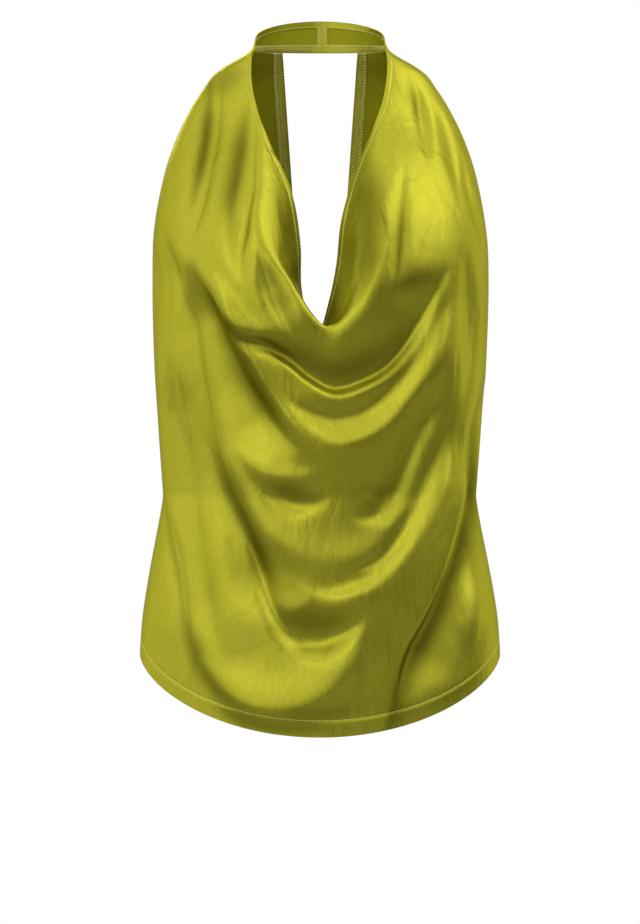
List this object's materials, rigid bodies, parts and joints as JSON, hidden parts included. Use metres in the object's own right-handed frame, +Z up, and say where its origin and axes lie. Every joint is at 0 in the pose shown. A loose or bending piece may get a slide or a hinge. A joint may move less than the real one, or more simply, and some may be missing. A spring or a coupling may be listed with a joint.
{
  "type": "cowl neck top",
  "caption": "Sleeveless halter top in bias-cut satin with a deep draped cowl, a neck band at the nape, an open keyhole back and a curved turned hem.",
  "frame": {"origin": "inner face of the neck band at the nape, half-way up the band", "axes": "+Z up, -Y out of the front, +X to the right of someone looking at the front"},
  "size_m": [0.3388, 0.2117, 0.675],
  "materials": {
    "satin": "glossy bias-cut satin, bright on its face and dull inside",
    "satin_turning": "turned satin edge with an overlocked border",
    "thread": "matt polyester sewing and overlocking thread"
  },
  "bodies": {
    "root": {"front": "satin", "back": "satin", "band_left": "satin", "band_right": "satin", "band_hem_left": "satin_turning", "band_hem_right": "satin_turning", "band_seam_left": "satin_turning", "band_seam_right": "satin_turning", "nape_seam": "satin_turning", "keyhole_hem": "satin_turning", "hem_front": "satin_turning", "hem_back": "satin_turning"}
  },
  "joints": []
}
